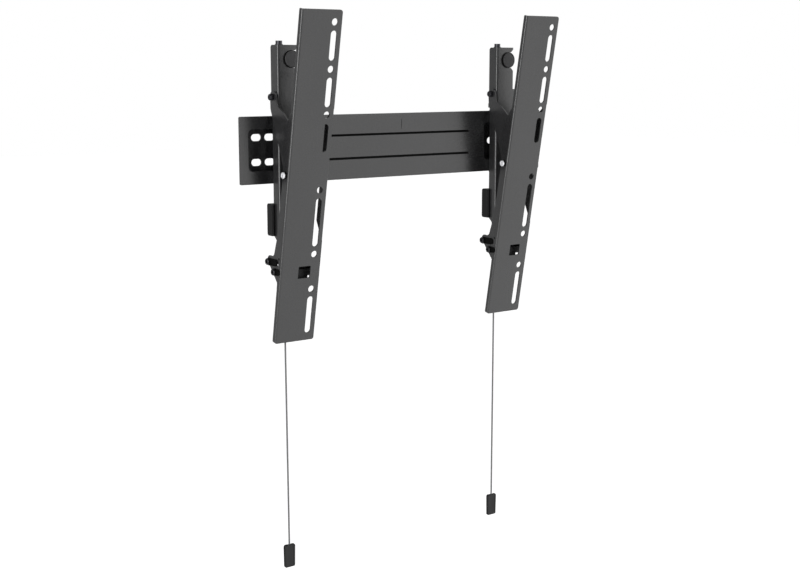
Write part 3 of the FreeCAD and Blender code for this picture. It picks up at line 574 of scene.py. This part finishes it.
def winding(name, at, wire, sides, turn, radius, rise, turns, steps):
    """Wire wound upwards from a place round an upright axis, closed at both ends."""
    bpy.ops.object.select_all(action="DESELECT")
    bpy.ops.mesh.primitive_circle_add(vertices=sides, radius=wire, rotation=turn)
    piece = begin(name)
    bpy.ops.object.mode_set(mode="EDIT")
    bpy.ops.mesh.select_all(action="SELECT")
    bpy.ops.transform.translate(value=(radius, 0, 0))
    bpy.ops.object.mode_set(mode="OBJECT")
    piece.location = at
    coil = piece.modifiers.new("coil", "SCREW")
    coil.axis = "Z"
    coil.screw_offset = rise
    coil.iterations = turns
    coil.steps = steps
    coil.render_steps = steps
    bpy.ops.object.modifier_apply(modifier=coil.name)
    bpy.ops.object.transform_apply(location=True, rotation=True, scale=True)
    bpy.ops.object.mode_set(mode="EDIT")
    bpy.ops.mesh.select_all(action="SELECT")
    bpy.ops.mesh.fill_holes(sides=sides)
    bpy.ops.mesh.select_all(action="SELECT")
    bpy.ops.mesh.normals_make_consistent(inside=False)
    return piece


def screw_thread(side, palette):
    """Rolled thread on the long height screw."""
    place = middle("height_screw_" + side)
    piece = winding("screw_thread_" + side, (place.x, place.y, THREAD_LOW), THREAD_RIDGE, 3,
                    (math.pi / 2, math.pi / 2, 0), THREAD_R, THREAD_PITCH, THREAD_TURNS, THREAD_STEPS)
    close_up(piece, palette, "long_screw", "screw_" + side)


def return_spring(side, palette):
    """Coil that brings the latch back up: it stands on the shelf."""
    place = middle("latch_spring_" + side)
    foot = (place.x, place.y, SPRING_LOW)
    height = SPRING_TOP - SPRING_LOW
    piece = winding("return_spring_" + side, foot, SPRING_WIRE / 2, SPRING_SIDES, (math.pi / 2, 0, 0),
                    SPRING_R, height / SPRING_TURNS, SPRING_TURNS, SPRING_STEPS)
    close_up(piece, palette, "zinc_steel", "bracket_" + side)
    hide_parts("latch_spring_" + side)
    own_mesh(piece)


def cord_ferrule(side, palette):
    """Tapered sleeve where the cord leaves the latch foot."""
    bpy.ops.object.select_all(action="DESELECT")
    top = CORD_ROUTE[side][0][1]
    place = (ARM_FACE[side] + CORD_U, CORD_Y, top - FERRULE_DROP)
    bpy.ops.mesh.primitive_cone_add(vertices=FERRULE_SIDES, radius1=FERRULE_LOW_R, radius2=FERRULE_TOP_R,
                                    depth=FERRULE_H, location=place)
    piece = begin("cord_ferrule_" + side)
    sink(piece, lambda centre, normal: normal.z < -FACING, FERRULE_WALL, (0, 0, FERRULE_MOUTH))
    soften(piece, FERRULE_ROUND)
    close_up(piece, palette, "black_plastic", "pull_latch_" + side)


def pull_tag(side, palette):
    """Moulded grip on the cord's end: tapered, with a sunk panel on both faces and a low collar."""
    x = ARM_FACE[side] + CORD_U + CORD_ROUTE[side][-1][0]
    half = TAG_THICK / 2
    piece = block("pull_tag_" + side, (x - TAG_HALF, x + TAG_HALF), (CORD_Y - half, CORD_Y + half),
                  (TAG_LOW, TAG_TOP))
    pick_faces(piece, lambda centre, normal: normal.z < -FACING)
    bpy.ops.transform.resize(value=TAG_TAPER, center_override=(x, CORD_Y, TAG_LOW))
    pick_edges(piece, lambda a, b: abs(a.z - b.z) > ALONG)
    bpy.ops.mesh.bevel(offset=TAG_ROUND, segments=3)
    pick_faces(piece, lambda centre, normal: abs(normal.y) > FACING)
    bpy.ops.mesh.inset(thickness=TAG_BORDER, use_individual=True)
    bpy.ops.transform.resize(value=TAG_WAIST, center_override=(x, CORD_Y, 0))
    sink(piece, lambda centre, normal: normal.z > FACING, TAG_RIM, (0, 0, TAG_COLLAR))
    close_up(piece, palette, "tag_plastic", "pull_latch_" + side)
    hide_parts("tag_" + side)


def pieces(palette):
    """All that the scene adds to the CAD's solids."""
    # painted shade: matt black strips in the two pressed grooves
    groove_shade_strip("groove_shade_strip_top", GROOVE_Z, palette)
    groove_shade_strip("groove_shade_strip_low", -GROOVE_Z, palette)
    for side in SIDES:
        rivet_collar(side, palette)
        rivet_head(side, palette)
        stud_cap(side, palette)
        oblong_washer("clamp", side, CLAMP_WASHER, palette)
        oblong_washer("lock", side, LOCK_WASHER, palette)
        # painted shade: a matt black cup round the bumper's face, for its side and its contact shadow
        bumper_shade_cup(side, palette)
        foot_rib(side, palette)
        screw_thread(side, palette)
        return_spring(side, palette)
        cord_ferrule(side, palette)
        pull_tag(side, palette)
        pull_cord(side, palette)


def area_light(name, at, target, size, power):
    """Soft lamp that the camera doesn't see."""
    data = bpy.data.lights.new(name, "AREA")
    data.shape = "RECTANGLE"
    data.size, data.size_y = size
    data.energy = power
    obj = bpy.data.objects.new(name, data)
    obj.location = at
    obj.rotation_euler = (Vector(target) - Vector(at)).to_track_quat("-Z", "Y").to_euler()
    obj.visible_camera = False
    bpy.context.scene.collection.objects.link(obj)


def room():
    """White to the camera, and to other rays dimmer from above and on the bracket's left."""
    world = bpy.data.worlds.new("studio")
    bpy.context.scene.world = world
    world.use_nodes = True
    tree = world.node_tree
    where = node(tree, "TexCoord").outputs["Generated"]
    split = node(tree, "SeparateXYZ", {"Vector": where})
    shade = node(tree, "MapRange", {"Value": split.outputs["X"], "From Min": -ROOM_ASIDE,
                                    "From Max": ROOM_ASIDE, "To Min": ROOM_DIM, "To Max": ROOM_BRIGHT})
    high = node(tree, "MapRange", {"Value": split.outputs["Z"], "From Min": ROOM_TOP_FROM,
                                   "From Max": ROOM_TOP_FULL, "To Min": 1.0, "To Max": ROOM_TOP})
    light = node(tree, "Math", {0: shade.outputs["Result"], 1: high.outputs["Result"]}, operation="MULTIPLY")
    seen = node(tree, "LightPath").outputs["Is Camera Ray"]
    strength = node(tree, "Mix", {0: seen, 2: light.outputs[0], 3: 1.0}, data_type="FLOAT")
    tree.links.new(strength.outputs[0], tree.nodes["Background"].inputs["Strength"])
    tree.nodes["Background"].inputs["Color"].default_value = (1, 1, 1, 1)


def floor():
    """Plain white floor far below the bracket, bright to the camera, and in mirrors less so on its left."""
    mat, tree, shader, where = new_material("studio_floor")
    shader.inputs["Base Color"].default_value = rgb(FLOOR_COLOUR)
    shader.inputs["Roughness"].default_value = 0.9
    shader.inputs["Emission Color"].default_value = (1, 1, 1, 1)
    path = node(tree, "LightPath")
    mirrored = node(tree, "Math", {0: path.outputs["Is Glossy Ray"], 1: path.outputs["Is Transmission Ray"]},
                    operation="MAXIMUM")
    across = node(tree, "SeparateXYZ", {"Vector": where})
    shade = node(tree, "MapRange", {"Value": across.outputs["X"], "From Min": FLOOR_NO_GLOW_X,
                                    "From Max": FLOOR_ALL_GLOW_X})
    side = node(tree, "Math", {0: mirrored.outputs[0], 1: shade.outputs["Result"]}, operation="MULTIPLY")
    seen = node(tree, "Math", {0: path.outputs["Is Camera Ray"], 1: side.outputs[0]}, operation="MAXIMUM")
    glow = node(tree, "Math", {0: seen.outputs[0], 1: FLOOR_GLOW}, operation="MULTIPLY")
    tree.links.new(glow.outputs[0], shader.inputs["Emission Strength"])
    bpy.ops.object.select_all(action="DESELECT")
    bpy.ops.mesh.primitive_plane_add(size=2 * FLOOR_REACH, location=(0, 0, FLOOR_Z))
    plane = begin("studio_floor")
    plane.data.materials.append(mat)
    bpy.ops.object.select_all(action="DESELECT")


def camera():
    """Camera where the photo was taken from."""
    data = bpy.data.cameras.new("photo_camera")
    data.sensor_width = SENSOR_MM
    data.lens = FOCAL_PX / FRAME_PX * SENSOR_MM
    obj = bpy.data.objects.new("photo_camera", data)
    obj.location = CAMERA_AT
    obj.rotation_euler = (math.radians(90 + CAMERA_PITCH), 0, math.radians(CAMERA_AZIMUTH))
    bpy.context.scene.collection.objects.link(obj)
    bpy.context.scene.camera = obj


def main():
    camera()
    palette = materials()
    dress(palette)
    pieces(palette)
    room()
    floor()
    area_light("front", FRONT_LAMP_AT, FRONT_LAMP_AIM, FRONT_LAMP_SIZE, FRONT_LAMP_POWER)
    area_light("left_strip", STRIP_LAMP_AT, STRIP_LAMP_AIM, STRIP_LAMP_SIZE, STRIP_LAMP_POWER)
    bpy.context.scene.view_settings.view_transform = "Standard"


main()
